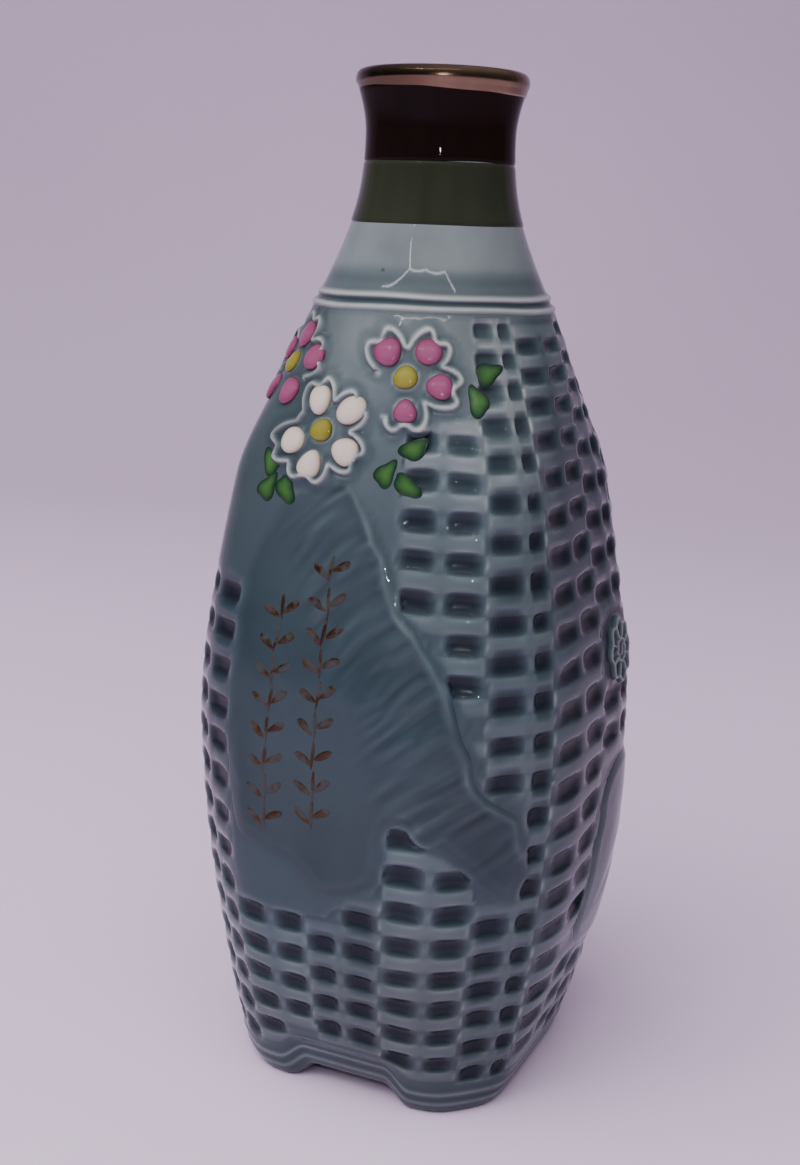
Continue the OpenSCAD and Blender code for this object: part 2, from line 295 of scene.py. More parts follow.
# Edge of the plain ground behind the blossoms and the mountain, as (angle, height).
PLAIN_EDGE = (
    (-50.5, 140), (-51, 119), (-60, 117.5), (-73, 115.5), (-74.8, 112), (-74.8, 95),
    (-73, 91), (-69, 87), (-61, 81), (-56.5, 74), (-52, 65), (-50, 61), (-39.5, 58.8),
    (-37.6, 54), (-36.5, 45), (-38, 41), (-44, 41.5), (-49, 45), (-56, 49.5), (-62, 52),
    (-68.5, 55), (-72.5, 55), (-74, 45), (-77, 41.5), (-85, 40), (-91, 36), (-104, 35.5),
    (-116, 36.5), (-121, 40), (-121.5, 60), (-123, 78), (-124, 90), (-142, 91), (-158, 104),
    (-158, 140),
)
# Edge of the mountain from its peak down the right slope, then back along its foot.
MOUNTAIN_EDGE = (
    (-90, 106.5), (-86, 103), (-81, 99.5), (-77.5, 96.5), (-75, 92), (-71.5, 87.8),
    (-66.5, 84.5), (-62, 81), (-58.5, 76.5), (-56, 71), (-53.5, 66), (-51.5, 61.5),
    (-45, 58.2), (-39.5, 56), (-37.8, 51), (-37, 45), (-39.5, 41), (-43.5, 41.2), (-47.5, 43),
    (-55, 48), (-61, 50.8), (-66, 52), (-69.5, 54.5), (-73, 53.5), (-74, 47), (-76, 43),
    (-84, 40.5), (-92.5, 39.8), (-97, 41), (-101, 43.8), (-106, 45.3), (-113.5, 46.3),
    (-119.5, 48), (-121.5, 60), (-122.5, 78), (-123.5, 92), (-118, 101), (-106, 107),
)
# The side on which the mountain dies away into the ground.
MOUNTAIN_FADE = ((-122, 70), (-123, 80), (-123.5, 92), (-118, 101), (-106, 107), (-94, 109))
# Slope of the mountain that carries the ridges, from the peak to the foot.
SLOPE_EDGE = softened(MOUNTAIN_EDGE[:15], closed=False)
MOUNTAIN_EDGE = softened(MOUNTAIN_EDGE)
SIDE_EDGE = softened((
    (-5, 27), (-2, 33), (1, 37), (1, 43), (4, 47), (3, 51), (8, 55), (16, 57), (28, 57.5),
    (42, 54), (50, 47), (52, 38), (44, 29), (28, 22), (8, 22),
))


def edge_distance(angle, z, edge, closed=True):
    """Distance to an outline in millimetres, positive inside a closed one.

    Places far from the outline are all counted as FAR.
    """
    angle, z = np.broadcast_arrays(np.asarray(angle, float), np.asarray(z, float))
    points = np.asarray(edge, float)
    low, high = points.min(0) - (45, 25), points.max(0) + (45, 25)
    close = (angle > low[0]) & (angle < high[0]) & (z > low[1]) & (z < high[1])
    out = np.full(angle.shape, -FAR if closed else FAR)
    x, h = to_mm(angle[close], z[close]), z[close]
    nearest = np.full(x.shape, 1e9)
    inside = np.zeros(x.shape, bool)
    across = to_mm(points[:, 0], points[:, 1])
    for i in range(len(points) if closed else len(points) - 1):
        k = (i + 1) % len(points)
        p = np.array([across[i], points[i, 1]])
        d = np.array([across[k], points[k, 1]]) - p
        t = np.clip(((x - p[0]) * d[0] + (h - p[1]) * d[1]) / (d @ d), 0, 1)
        gap = np.hypot(x - p[0] - t * d[0], h - p[1] - t * d[1])
        nearest = np.minimum(nearest, gap)
        crosses = (p[1] > h) != (p[1] + d[1] > h)
        with np.errstate(divide="ignore", invalid="ignore"):
            at = p[0] + (h - p[1]) * d[0] / d[1]
        inside ^= crosses & (x < at)
    out[close] = np.where(inside, nearest, -nearest) if closed else nearest
    return out


def wrap(angle):
    """Angles from -200 to 160, so that the front's outlines are never cut."""
    return (np.asarray(angle, float) + 200) % 360 - 200


def noise(u, v, seed=0.0):
    """Smooth random values from 0 to 1 over a plane, with cells one unit wide."""
    i, j = np.floor(u), np.floor(v)
    fu, fv = smooth(u - i), smooth(v - j)

    def corner(di, dj):
        return np.mod(np.sin((i + di) * 127.1 + (j + dj) * 311.7 + seed) * 43758.5453, 1)

    low = corner(0, 0) * (1 - fu) + corner(1, 0) * fu
    high = corner(0, 1) * (1 - fu) + corner(1, 1) * fu
    return low * (1 - fv) + high * fv


# The weave's row at closely spaced heights, to read either from the other.
FINE_Z = np.linspace(4, 136, 1321)
FINE_ROWS = curve(FINE_Z, ROW_MARKS)


def from_rosette(a, z):
    """Millimetres from the rosette's middle."""
    return np.hypot(to_mm(a - ROSETTE[0], z), z - ROSETTE[1])


def uncovered(inside):
    """1 outside the edge of a sprigged piece, fading to 0 just within it."""
    return 1 - smooth((inside + 0.4) / 0.9)


def strands_shown(a, z):
    """1 where the weave shows, 0 on plain ground."""
    shown = 1 - smooth((edge_distance(a, z, PLAIN_EDGE) + 0.7) / 1.0)
    shown = shown * smooth((from_rosette(a, z) - 7.4) / 0.8)
    shown = shown * smooth((z - 0.85 * arch(a) - 6.6) / 0.6)
    return shown * (1 - smooth((z - 131.6) / 0.7))


def weave(angle, z):
    """Height of the basket weave: strands pass over and under upright stakes.

    Each crossing is a pair of bowls with a thin rib between, and a bowl shows whole or not
    at all, but for those that the sprigged pieces lie over.
    """
    a = wrap(angle)
    place = np.interp(a, PLACE_ANGLES, PLACE_NUMBERS)
    place = place + 0.03 * (noise(to_mm(a, z) / 4, z / 3.1) - 0.5)
    stake = np.round(place)
    row = np.interp(z, FINE_Z, FINE_ROWS) - 0.5 * (np.mod(stake + 1, 2))
    row = row + 0.09 * (noise(to_mm(a, z) / 5, z / 5, 3.0) - 0.5)
    row_middle = np.round(row)
    side = np.where(place < stake, -1.0, 1.0)
    bowl_a = np.interp(stake + 0.25 * side, PLACE_NUMBERS, PLACE_ANGLES)
    bowl_z = np.interp(row_middle + 0.5 * np.mod(stake + 1, 2), FINE_ROWS, FINE_Z)
    whole = (strands_shown(bowl_a, bowl_z) > 0.5) & (bowl_z > 8.2 + arch(bowl_a))
    whole &= side_inside(bowl_a, bowl_z) < -2.5
    size = 0.9 + 0.16 * noise(stake * 1.7 + side, row_middle * 1.3, 7.0)
    off = np.abs(place - stake) * 2 * HALF_STEP
    fy = np.abs(row - row_middle)
    across = (np.abs(off - BOWL_MIDDLE) / (BOWL_HALF_W * size)) ** BOWL_POWER
    away = (across + (fy / (BOWL_HALF_H * size)) ** BOWL_POWER) ** BOWL_ROOT
    bowl = -WEAVE_DEPTH * size * (1 - smooth((away - 0.36) / 0.76)) * whole
    over = -STRAND_ROUND * (2 * (0.5 - fy) / 0.55) ** 2 * strands_shown(a, z)
    covered = np.maximum(mountain_inside(a, z), side_inside(a, z))
    return (bowl + np.maximum(over, -STRAND_ROUND)) * uncovered(covered)


def mountain_inside(angle, z):
    """Distance inside the mountain's hand-modelled, slightly lumpy edge."""
    lumps = noise(to_mm(angle, z) / 3.5, z / 3.5, 6.0) - 0.5
    return edge_distance(angle, z, MOUNTAIN_EDGE) + 0.9 * lumps


def mountain(angle, z):
    """Height of the mountain: a rolled edge, and brushed ridges down its slope."""
    inside = mountain_inside(angle, z)
    slope = edge_distance(angle, z, SLOPE_EDGE, closed=False)
    fade = smooth(edge_distance(angle, z, MOUNTAIN_FADE, closed=False) / 11)
    x = to_mm(angle, z)
    near_slope = 1 - smooth((slope - 1.5) / 2)
    body = 0.42 * smooth(inside / (2.8 - 1.2 * near_slope)) * fade
    wander = noise(x / 3.2, z / 3.2, 5.0)
    line = hump(inside - 1.5, 1.1) * 0.2 * wander * fade * near_slope
    bent = z + 0.012 * (slope - 6) ** 2 + 1.6 * noise(x / 9, z / 9, 8.0)
    turn = math.radians(36)
    along = x * math.cos(turn) + bent * math.sin(turn)
    across = x * math.sin(turn) - bent * math.cos(turn)
    strokes = noise(along / 9, across / 1.7, 9.0) + 0.35 * noise(along / 6, across / 0.9, 2.0)
    on_slope = smooth((slope - 0.9) / 2) * smooth((20 - slope) / 9) * smooth((z - 44) / 10)
    ridges = 0.5 * (strokes - 0.68) * on_slope * smooth(inside / 2)
    return body + line + ridges + 0.12 * (noise(x / 6, z / 8, 4.0) - 0.5) * smooth(inside / 3)


def side_inside(angle, z):
    """Distance inside the edge of the smooth relief low on the right-hand side."""
    return edge_distance(angle, z, SIDE_EDGE)


def side_swell(angle, z):
    """Height of the smooth relief low on the right-hand side."""
    inside = side_inside(angle, z)
    x = to_mm(angle, z)
    strokes = noise((x + z) / 15, (x - z) / 3.5, 12.0) - 0.5
    return 0.5 * smooth(inside / 2.4) + 0.4 * smooth(inside / 9) * (1 + 0.5 * strokes)


# Heights of the raised lines along the foot and of the cords, and how far they stand out.
FOOT_LINES = (2.3, 4.5)
FOOT_LINE_H = 0.3
CORD_LINES = (CORD_LOW_Z, CORD_HIGH_Z)
CORD_H = 0.5


def level_lines(z, heights, high):
    """Height of rounded lines that run round the bottle."""
    return sum(high * hump(z - at, 0.5) for at in heights)


# ---- blossoms ----

BLOSSOM_R = 8.5
# Radius of half a petal's edge over the blossom's, from its axis to the valley.
PETAL_EDGE = ((0, 0.86), (5, 0.9), (12, 1.0), (18, 0.96), (25, 0.84), (31, 0.69), (36, 0.56))
# Each blossom's nodes begin with the first name and its petals' nodes with the second. Then
# its petals' enamel, the span of its outline in degrees, and each petal's length and width.
BLOSSOMS = {
    "white": (
        "white_blossom", "white_petal", "white", (0, 360),
        ((5.0, 3.9), (5.5, 4.4), (4.8, 4.5), (4.7, 3.9), (4.1, 4.4)),
    ),
    "pink_right": (
        "pink_blossom_right", "pink_right_petal", "pink", (-112, 170),
        ((4.6, 4.5), (4.3, 4.2), (4.2, 4.0), (3.8, 3.7)),
    ),
    "pink_left": (
        "pink_blossom_left", "pink_left_petal", "pink", (-22, 240),
        ((4.6, 4.1), (4.7, 4.3), (4.6, 4.1), (4.5, 4.1), (4.2, 4.0)),
    ),
}


def blossom_nodes(name):
    """The nodes of a blossom's centre and of its petals."""
    flower, petal, _, _, sizes = BLOSSOMS[name]
    return flower + "_centre", ["%s_%d" % (petal, i + 1) for i in range(len(sizes))]


def local_mm(spot, place):
    """Millimetres across and up from a spot to a place."""
    r = float(bottle_r(*spot))
    return math.radians(place[0] - spot[0]) * r, (place[1] - spot[1]) / LEAN


def petal_turns(name):
    """Directions of a blossom's petals from its centre, anticlockwise from sideways."""
    centre, petals = blossom_nodes(name)
    places = [local_mm(spot_of(centre), spot_of(petal)) for petal in petals]
    return [math.degrees(math.atan2(v, u)) for u, v in places]


def outline_points(name, count=240):
    """Points of a blossom's edge, in millimetres across and up from its centre."""
    f = np.linspace(*BLOSSOMS[name][3], count)
    away = np.min([np.abs((f - t + 540) % 360 - 180) for t in petal_turns(name)], 0)
    radii = BLOSSOM_R * np.interp(away, *zip(*PETAL_EDGE))
    kernel = np.exp(-(np.linspace(-2, 2, 5)) ** 2 / 2)
    padded = np.pad(radii, 2, mode="edge")
    radii = np.convolve(padded, kernel / kernel.sum(), "valid")
    return radii * np.cos(np.radians(f)), radii * np.sin(np.radians(f)), f


def outline_height(angle, z):
    """Height of all the blossoms' outlines and the moats beside them, for the glaze."""
    total = np.zeros(np.broadcast(angle, z).shape)
    moat = np.zeros(total.shape)
    for name in BLOSSOMS:
        spot = spot_of(blossom_nodes(name)[0])
        u, v, _ = outline_points(name, 120)
        edge = np.stack(near(spot, u, v), 1)
        close = (np.abs(angle - spot[0]) < 24) & (np.abs(z - spot[1]) < 12)
        gap = edge_distance(angle[close], z[close], edge, closed=False)
        total[close] = np.maximum(total[close], 0.62 * hump(gap, 0.55))
        moat[close] = np.maximum(moat[close], 0.07 * hump(gap - 1.5, 0.6))
    return total - moat * (total < 0.1)


def bead_height(angle, z):
    """A coarse height of the enamel beads, for the glaze to gather against."""
    total = np.zeros(np.broadcast(angle, z).shape)
    for name in BLOSSOMS:
        centre, petals = blossom_nodes(name)
        for node in [centre] + petals:
            spot = spot_of(node)
            r = float(bottle_r(*spot))
            gap = np.hypot(np.radians(angle - spot[0]) * r, (z - spot[1]) / LEAN)
            total = np.maximum(total, 0.45 * smooth((2.7 - gap) / 1.0))
    return total


# ---- pooled glaze and painted shade ----

# Degrees and millimetres between the grid's points, and the first in millimetres at the belly.
POOL_STEP_A = 0.5
POOL_STEP_Z = 0.3
POOL_STEP_MM = 0.27


def blurred(field, spread):
    """A field over angle and height, blurred over millimetres; angle wraps round."""
    def kernel(sigma):
        n = int(math.ceil(3 * sigma))
        k = np.exp(-(np.arange(-n, n + 1) / sigma) ** 2 / 2)
        return k / k.sum(), n

    k, n = kernel(spread / POOL_STEP_MM)
    wide = np.concatenate([field[:, -n:], field, field[:, :n]], 1)
    out = sum(w * wide[:, i:i + field.shape[1]] for i, w in enumerate(k))
    k, n = kernel(spread / POOL_STEP_Z)
    tall = np.pad(out, ((n, n), (0, 0)), mode="edge")
    return sum(w * tall[i:i + field.shape[0]] for i, w in enumerate(k))


def relief_field(a, h):
    """The height of everything raised or sunk on the bottle, for the glaze."""
    relief = weave(a, h)
    relief += mountain(a, h) + side_swell(a, h) + level_lines(h, FOOT_LINES, FOOT_LINE_H)
    relief += outline_height(a, h) + bead_height(a, h) + level_lines(h, CORD_LINES, CORD_H)
    gap = from_rosette(a, h)
    relief += 0.5 * smooth((5.9 - gap) / 1.2) - 0.8 * hump(gap - 6.9, 0.8)
    return relief


def pool_and_shade_field():
    """How dark the glaze is made, on a grid: 0 on ridges, 1 where it pools, with painted shade on
    the sides, the back and in the deep pockets.
    """
    angle = np.arange(-200, 160, POOL_STEP_A)
    z = np.arange(0, GREEN_Z + 0.3, POOL_STEP_Z)
    a, h = np.meshgrid(angle, z)
    relief = relief_field(a, h)
    # It thins on ridges and gathers beside them, and most of all in the weave's pockets, which are
    # also darkened by their depth as painted shade.
    shallow = np.maximum(relief, -0.4)
    fine = blurred(shallow, 0.5) - shallow
    broad = blurred(relief, 1.8) - relief
    deep = np.clip(-relief, 0, 1.2) * (1 - 0.5 * smooth((h - 100) / 25))
    # It is thicker on the mountain and thinner on the strands, and paler towards the top on high
    # plain ground and the shoulder.
    on_mountain = mountain_inside(a, h)
    woven = strands_shown(a, h) * uncovered(on_mountain)
    ground = 0.1 * smooth(on_mountain / 2) - 0.1 * woven
    ground -= 0.045 * (1 - strands_shown(a, h)) * smooth((h - 78) / 14)
    ground -= 0.02 * woven * smooth((h - 100) / 20)
    # Painted shade: the sides and the back are made darker, as if turned away from the light, in
    # all but the lowest rows.
    off_front = np.abs((a + 250) % 360 - 180)
    away = smooth((off_front - 32) / 22) * smooth((h - 25) / 25)
    ground += (0.11 + 0.09 * woven) * away
    # It has run down the neck on to the cords, and lies between them.
    run = 0.16 * hump(h - CORD_HIGH_Z - 2.4, 1.5)
    run += 0.25 * hump(h - (CORD_HIGH_Z + CORD_LOW_Z) / 2, 0.45)
    level = 0.47 + 0.9 * np.maximum(fine, 0) + 1.7 * np.minimum(fine, 0) + 0.42 * deep
    # Above 92 mm the level also falls with height, so the shoulder and neck are paler towards the
    # top.
    level += 0.1 * np.maximum(broad, 0) + ground + run - 0.2 * smooth((h - 92) / 50)
    return angle, z, np.clip(level, 0.04, 1)


POOL_AND_SHADE = pool_and_shade_field()


def pool_and_shade(angle, z):
    """The glaze's thickness, with painted shade on the sides and back, at any angle and height."""
    angles, heights, field = POOL_AND_SHADE
    a = (wrap(angle) - angles[0]) / POOL_STEP_A
    h = np.clip(z / POOL_STEP_Z, 0, len(heights) - 1.001)
    i, j = np.floor(h).astype(int), np.floor(a).astype(int)
    fi, fj = h - i, a - j
    j0, j1 = j % len(angles), (j + 1) % len(angles)
    return (
        field[i, j0] * (1 - fi) * (1 - fj) + field[i + 1, j0] * fi * (1 - fj)
        + field[i, j1] * (1 - fi) * fj + field[i + 1, j1] * fi * fj
    )


# The turned pieces take the glaze's thickness at this angle all round.
TURNED_POOL_AT = -60.0


def turned_pool(heights):
    heights = np.asarray(heights, float)
    return pool_and_shade(np.full(heights.shape, TURNED_POOL_AT), heights)


# ---- materials ----


def set_ramp(node, stops):
    """Gives a colour ramp its (place, colour or grey) stops."""
    elements = node.color_ramp.elements
    while len(elements) < len(stops):
        elements.new(0.5)
    for element, (at, colour) in zip(elements, stops):
        element.position = at
        if isinstance(colour, (int, float)):
            colour = (colour,) * 3
        element.color = (*colour, 1)


class Nodes:
    """A new material and short ways to add nodes to it."""

    def __init__(self, name):
        self.material = bpy.data.materials.new(name)
        self.material.use_nodes = True
        self.tree = self.material.node_tree
        self.shader = self.tree.nodes["Principled BSDF"]
        self.coords = self.add("ShaderNodeTexCoord").outputs["Object"]

    def put(self, node, sockets):
        """Sets sockets to numbers or colours, or links them to other nodes' sockets."""
        for key, value in sockets.items():
            socket = node.inputs[key]
            if isinstance(value, (int, float)):
                socket.default_value = value
            elif isinstance(value, tuple):
                socket.default_value = (*value, 1)
            else:
                self.tree.links.new(value, socket)

    def add(self, kind, sockets=None, **settings):
        node = self.tree.nodes.new(kind)
        for key, value in settings.items():
            setattr(node, key, value)
        self.put(node, sockets or {})
        return node

    def attribute(self, name):
        return self.add("ShaderNodeAttribute", attribute_name=name).outputs["Fac"]

    def noise(self, scale, detail=3.0, roughness=0.55, stretch=None):
        source = self.coords
        if stretch:
            mapping = self.add("ShaderNodeMapping", {"Vector": source})
            mapping.inputs["Scale"].default_value = stretch
            source = mapping.outputs["Vector"]
        sockets = {"Scale": scale, "Detail": detail, "Roughness": roughness, "Vector": source}
        return self.add("ShaderNodeTexNoise", sockets).outputs["Fac"]

    def dots(self, scale, inner, outer):
        """Scattered dots: 1 within inner of their middles, 0 from outer."""
        cells = self.add("ShaderNodeTexVoronoi", {"Scale": scale, "Vector": self.coords})
        return self.ramp(cells.outputs["Distance"], [(inner, 1.0), (outer, 0.0)])

    def value(self, operation, a, b):
        return self.add("ShaderNodeMath", {0: a, 1: b}, operation=operation).outputs["Value"]

    def spread(self, source, amount):
        """Noise as an amount up or down."""
        return self.value("MULTIPLY", self.value("SUBTRACT", source, 0.5), amount)

    def ramp(self, source, stops):
        node = self.add("ShaderNodeValToRGB", {"Fac": source})
        set_ramp(node, stops)
        return node.outputs["Color"]

    def mix(self, factor, a, b, blend="MIX"):
        node = self.add("ShaderNodeMix", data_type="RGBA", blend_type=blend)
        self.put(node, {0: factor, 6: a, 7: b})
        return node.outputs[2]

    def finish(self, colour, roughness, bump, strength, distance, **inputs):
        relief = {"Strength": strength, "Distance": distance, "Height": bump}
        normal = self.add("ShaderNodeBump", relief).outputs["Normal"]
        inputs = {key.replace("_", " "): v for key, v in inputs.items()}
        self.put(self.shader, {
            "Base Color": colour, "Roughness": roughness, "Normal": normal, **inputs
        })
        return self.material


# Colours of the celadon by the glaze's thickness and painted shade, from 0 to 1.
CELADON_SHADES = (
    (0.0, (0.42, 0.43, 0.42)), (0.14, (0.24, 0.262, 0.268)), (0.3, (0.108, 0.132, 0.142)),
    (0.46, (0.05, 0.069, 0.081)), (0.62, (0.029, 0.041, 0.05)), (0.8, (0.014, 0.019, 0.026)),
    (1.0, (0.007, 0.0085, 0.014)),
)


def celadon(name, ripple_strength=0.22, gloss=0.03):
    """Grey-blue celadon: pale on ridges, dark where it pools and where shade is painted in, with
    faint cloudy drift.
    """
    n = Nodes(name)
    pool_and_shade_level = n.attribute("pool_and_shade")
    thick = n.value("ADD", pool_and_shade_level, n.spread(n.noise(45, detail=4), 0.26))
    warm = n.ramp(n.noise(18, detail=2), [(0.35, (0.92, 1.0, 1.04)), (0.7, (1.06, 1.0, 0.96))])
    colour = n.mix(1.0, n.ramp(thick, CELADON_SHADES), warm, "MULTIPLY")
    rare = n.ramp(n.noise(33, detail=0), [(0.64, 0.0), (0.66, 1.0)])
    specks = n.mix(1.0, n.dots(95, 0.035, 0.06), rare, "MULTIPLY")
    colour = n.mix(specks, colour, (0.03, 0.025, 0.03))
    uneven = n.ramp(n.noise(120), [(0.3, gloss), (0.8, gloss * 2)])
    dull = n.ramp(pool_and_shade_level, [(0.62, 0.0), (0.85, 0.3)])
    ripple = n.value("ADD", n.noise(260, detail=2), n.value("MULTIPLY", n.noise(900), 0.1))
    return n.finish(
        colour, n.value("ADD", uneven, dull), ripple, ripple_strength, 0.0001,
        Specular_IOR_Level=0.15, IOR=1.5,
    )


def dark_glaze(name, deep, thin, gloss, shine):
    """A dark band of glaze that breaks to a thinner colour in cloudy streaks."""
    n = Nodes(name)
    streaks = n.noise(60, detail=4, stretch=(1, 1, 0.25))
    colour = n.ramp(streaks, [(0.35, deep), (0.75, thin)])
    return n.finish(
        colour, n.ramp(n.noise(150), [(0.3, gloss), (0.8, gloss * 2)]), n.noise(300), 0.04,
        0.0001, Specular_IOR_Level=shine, IOR=1.5,
    )


def enamel(name, deep, pale, spot=None):
    """Raised enamel: a glossy opaque bead with a paler crown and a few pinholes."""
    n = Nodes(name)
    cloud = n.noise(330, detail=3)
    level = n.value("ADD", n.attribute("crown"), n.spread(cloud, 0.5))
    colour = n.ramp(level, [(0.05, tuple(c * 0.45 for c in deep)), (0.4, deep), (1.0, pale)])
    some = n.ramp(n.noise(140, detail=0), [(0.6, 0.0), (0.66, 1.0)])
    pinholes = n.mix(1.0, n.dots(420, 0.07, 0.16), some, "MULTIPLY")
    colour = n.mix(pinholes, colour, spot or tuple(c * 0.4 for c in deep))
    return n.finish(
        colour, n.ramp(cloud, [(0.3, 0.13), (0.8, 0.24)]), n.value("SUBTRACT", cloud, pinholes),
        0.3, 0.0002, Specular_IOR_Level=0.35, IOR=1.5,
    )


def worn_gilt(name, metal, under, wear, rough, side_shaded=False):
    """Gilding rubbed through in patches; with its last switch on, it is also darkened where
    "bright" is 0, as painted shade on the side turned from the light.
    """
    n = Nodes(name)
    patches = n.noise(420, detail=5, roughness=0.65)
    kept = n.ramp(patches, [(wear - 0.06, 0.0), (wear + 0.08, 1.0)])
    tone = n.ramp(n.noise(150), [(0.3, tuple(c * 0.65 for c in metal)), (0.75, metal)])
    colour = n.mix(kept, under, tone)
    if side_shaded:
        # Painted shade: darker round the side of the lip that turns from the light.
        colour = n.mix(n.attribute("bright"), tuple(c * 0.25 for c in metal), colour)
    return n.finish(
        colour, n.ramp(patches, [(0.3, rough * 1.6), (0.75, rough)]), patches, 0.3, 0.00008,
        Metallic=kept, IOR=1.5,
    )


def paper(name):
    n = Nodes(name)
    colour = n.ramp(n.noise(3, detail=2), [(0.3, (0.80, 0.62, 0.85)), (0.7, (0.84, 0.655, 0.89))])
    return n.finish(colour, 0.85, n.noise(500), 0.03, 0.0001)


MATERIALS = {
    "celadon": celadon("celadon_glaze"),
    "thrown_celadon": celadon("thrown_celadon_glaze", 0.002, 0.022),
    "brown": dark_glaze(
        "brown_glaze", (0.005, 0.003, 0.003), (0.014, 0.006, 0.005), 0.015, 0.05
    ),
    "green": dark_glaze("olive_glaze", (0.016, 0.02, 0.0125), (0.034, 0.038, 0.024), 0.02, 0.18),
    "gilt_lip": worn_gilt("lip_gilt", (0.31, 0.2, 0.135), (0.09, 0.05, 0.03), 0.26, 0.16, True),
    "gilt_brush": worn_gilt("brushed_gilt", (0.10, 0.058, 0.032), (0.03, 0.033, 0.034), 0.5, 0.45),
    "white": enamel("white_enamel", (0.43, 0.35, 0.28), (0.61, 0.53, 0.46), (0.24, 0.14, 0.08)),
    "pink": enamel("pink_enamel", (0.17, 0.03, 0.083), (0.27, 0.066, 0.148)),
    "yellow": enamel("yellow_enamel", (0.16, 0.14, 0.013), (0.245, 0.22, 0.034)),
    "leaf": enamel("leaf_enamel", (0.012, 0.036, 0.018), (0.045, 0.125, 0.03)),
    "paper": paper("pale_paper"),
}

# ---- body ----

# Places across half a stake's span and up one row where the mesh needs points.
HALF_SPAN = (0.6, 1.3, 2.1, 3.0, 4.3, 5.9, 7.4, 8.5, 9.4, 10.3)
ROW_PARTS = (0, 0.08, 0.15, 0.21, 0.28, 0.5, 0.72, 0.79, 0.85, 0.92)
FOOT_STEPS = (0, 0.25, 0.6, 1.2, 1.7, 2.0, 2.3, 2.6, 3.0, 3.5, 3.9, 4.2, 4.5, 4.8, 5.2, 5.7)
# Width of the foot's rim, height of the underside, the wall, and the hollow at the seam.
FOOT_W = 4.5
UNDERSIDE_Z = 5.8
WALL = 3.6
SEAM_IN_R = 16.2
# Millimetres over which the edge of the foot is rounded.
FOOT_ROUND = 0.7
# Heights of the rings that shape the hollow, from the seam down to the floor's edge.
HOLLOW_Z = (SEAM_Z, 131, 128, 124, 118, 110, 100, 88, 74, 60, 46, 32, 20, 14, 11.5, 10)
FLOOR_Z = 9.2
# Height above which the hollow leaves the eight-sided shape and turns round.
HOLLOW_ROUND_Z = 118


def body_angles():
    span = [-a for a in reversed(HALF_SPAN)] + [0.0] + list(HALF_SPAN) + [HALF_STEP]
    places = [k + a / HALF_STEP / 2 for k in range(len(STAKES) - 1) for a in span]
    return np.interp(places, PLACE_NUMBERS, PLACE_ANGLES)


def body_heights():
    fine = np.linspace(5, 134, 6000)
    wanted = [k + p for k in range(-1, 22) for p in ROW_PARTS]
    heights = np.interp(wanted, curve(fine, ROW_MARKS), fine)
    heights = heights[(heights > 6.1) & (heights < SEAM_Z - 0.3)]
    return np.concatenate([FOOT_STEPS, heights, [SEAM_Z]])


def body_relief(angle, z):
    """The body's own relief, sunk a little where a sprigged piece lies on it."""
    relief = weave(angle, z) + level_lines(z, FOOT_LINES, FOOT_LINE_H)
    for inside in (mountain_inside(angle, z), side_inside(angle, z)):
        relief -= 0.3 * smooth((inside - 0.8) / 1.0)
    return relief


def make_body():
    """The moulded wall with its weave and foot, the underside and the hollow inside."""
    angles, heights = body_angles(), body_heights()
    count = len(angles)
    a, z = np.meshgrid(angles, heights)
    off = body_relief(a, z) - FOOT_ROUND * (1 - smooth(z / FOOT_ROUND)) * (z < FOOT_ROUND)
    # Above the arch, the lowest rows rise with the foot's edge.
    lift = arch(a) * smooth((12 - z) / 8)
    outside = polar(bottle_r(a, z) + off, a, z + lift)

    def ring(radius, height):
        return polar(radius, angles, height)

    foot_in = bottle_r(angles, 0.0) - FOOT_W
    under = [ring(foot_in * k, UNDERSIDE_Z) for k in (0.02, 0.5, 0.97)]
    under += [ring(foot_in * 0.995, UNDERSIDE_Z - 0.6), ring(foot_in, arch(angles) + 0.5)]
    under += [ring(foot_in + 0.5, arch(angles))]
    inside = []
    for h in HOLLOW_Z:
        w = smooth((h - HOLLOW_ROUND_Z) / (SEAM_Z - HOLLOW_ROUND_Z))
        wide = (1 - w) * (bottle_r(angles, float(h)) - WALL) + w * SEAM_IN_R
        inside.append(ring(wide * (1 if h > 11 else 0.93), h))
    inside += [ring(foot_in * k, FLOOR_Z) for k in (0.9, 0.5, 0.02)]
    rings = np.concatenate([under, outside, inside])
    shades = np.concatenate([
        np.full((len(under), count), 0.35), pool_and_shade(a, z), np.full((len(inside), count), 0.45)
    ])
    faces = capped_faces(len(rings), count)
    obj = make_mesh("body_wall", rings.reshape(-1, 3) * MM, faces, "celadon", {"pool_and_shade": shades})
    piece(obj, "body")


# ---- sprigged pieces ----

# How deep the pieces are bedded in the body.
SPRIG_SUNK = 0.7


